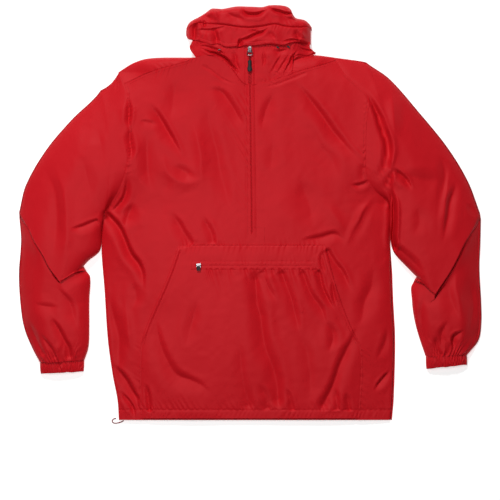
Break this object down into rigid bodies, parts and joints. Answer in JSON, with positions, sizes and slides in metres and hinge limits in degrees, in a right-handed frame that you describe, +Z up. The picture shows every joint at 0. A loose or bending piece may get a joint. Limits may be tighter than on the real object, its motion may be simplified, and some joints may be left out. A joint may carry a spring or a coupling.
{
  "type": "anorak pullover",
  "caption": "Hooded half-zip anorak pullover of thin red nylon with a pouch pocket, laid flat on its back with the hood heaped above the neck.",
  "frame": {"origin": "centre of the flat outline's bounding box, on the surface that the garment lies on", "axes": "+X across the garment to the right of a viewer who reads it hood up, +Y from hem to hood, +Z up from the surface"},
  "size_m": [0.9654, 0.8723, 0.045],
  "materials": {
    "nylon_taffeta": "smooth, softly shining nylon taffeta",
    "zip_tape": "matte woven tape",
    "cord_red": "matte braid",
    "cord_end_grey": "semi-gloss",
    "nickel": "satin nickel plate",
    "rubber": "matte"
  },
  "bodies": {
    "garment": {"back": "nylon_taffeta", "front": "nylon_taffeta", "sleeve_left": "nylon_taffeta", "sleeve_right": "nylon_taffeta", "cuff_left": "nylon_taffeta", "cuff_right": "nylon_taffeta", "pouch_pocket": "nylon_taffeta", "hood_side_left": "nylon_taffeta", "hood_side_right": "nylon_taffeta", "hood_face_edge": "nylon_taffeta", "hood_crown": "nylon_taffeta", "front_zip_tape": "zip_tape", "pocket_zip_tape": "zip_tape", "front_zip_slider": "nickel", "pocket_zip_slider": "nickel", "hood_cord_end_left": "cord_end_grey", "hood_cord_end_right": "cord_end_grey", "hood_cord_end_far_right": "cord_end_grey", "hem_cord_loop": "cord_red"},
    "front_pull": {"front_pull_ring": "nickel", "front_pull_cord": "cord_red", "front_pull_grip": "rubber"},
    "pocket_pull": {"pocket_pull_tab": "nickel"}
  },
  "joints": [
    {"name": "front_pull_hinge", "type": "hinge", "parent": "garment", "child": "front_pull", "pos_m": [-0.00085, 0.338, 0.04], "axis": [-1, 0, 0], "range_deg": [0, 140]},
    {"name": "pocket_pull_hinge", "type": "hinge", "parent": "garment", "child": "pocket_pull", "pos_m": [-0.10725, -0.1095, 0.0391], "axis": [-1, 0, 0], "range_deg": [0, 150]}
  ]
}
